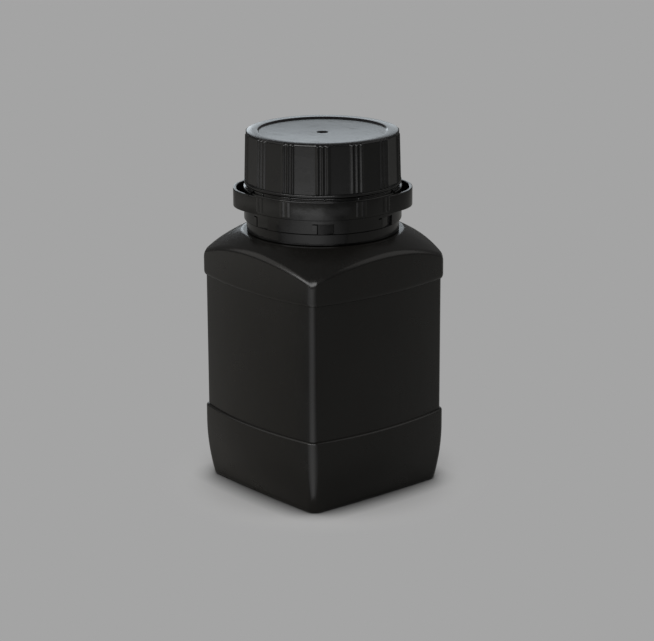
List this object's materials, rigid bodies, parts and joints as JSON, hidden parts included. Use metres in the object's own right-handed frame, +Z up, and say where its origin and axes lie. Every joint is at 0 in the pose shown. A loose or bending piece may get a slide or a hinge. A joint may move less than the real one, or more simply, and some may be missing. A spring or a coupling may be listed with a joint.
{
  "type": "square wide-mouth plastic bottle",
  "caption": "Square wide-mouth bottle with bowed faces, a recessed label panel, a ribbed screw cap with a sunk top disc, and a tamper-evident ring with two pull ears.",
  "frame": {"origin": "middle of the base, on the surface that the bottle stands on", "axes": "+Z up along the axis of the neck and cap; the four faces look along -X, +X, -Y and +Y"},
  "size_m": [0.063, 0.063, 0.117],
  "materials": {
    "body_plastic": "blow-moulded black polyethylene, satin",
    "cap_plastic": "injection-moulded black, semi-gloss",
    "liner_foam": "white foam liner, matt",
    "ring_plastic": "injection-moulded black, glossy"
  },
  "bodies": {
    "bottle": {"bottle_body": "body_plastic", "tamper_ring": "ring_plastic"},
    "liner": {"sealing_disc": "liner_foam"},
    "cap": {"screw_cap": "cap_plastic"}
  },
  "joints": [
    {"name": "cap_lift", "type": "slide", "parent": "bottle", "child": "liner", "axis": [0, 0, 1], "range_m": [0, 0.0201]},
    {"name": "cap_turn", "type": "hinge", "parent": "liner", "child": "cap", "pos_m": [0, 0, 0.1], "axis": [0, 0, 1], "range_deg": [0, 1800]}
  ],
  "couplings": [
    {"joint": "cap_lift", "follows": "cap_turn", "m_per_rad": 0.00063662}
  ]
}
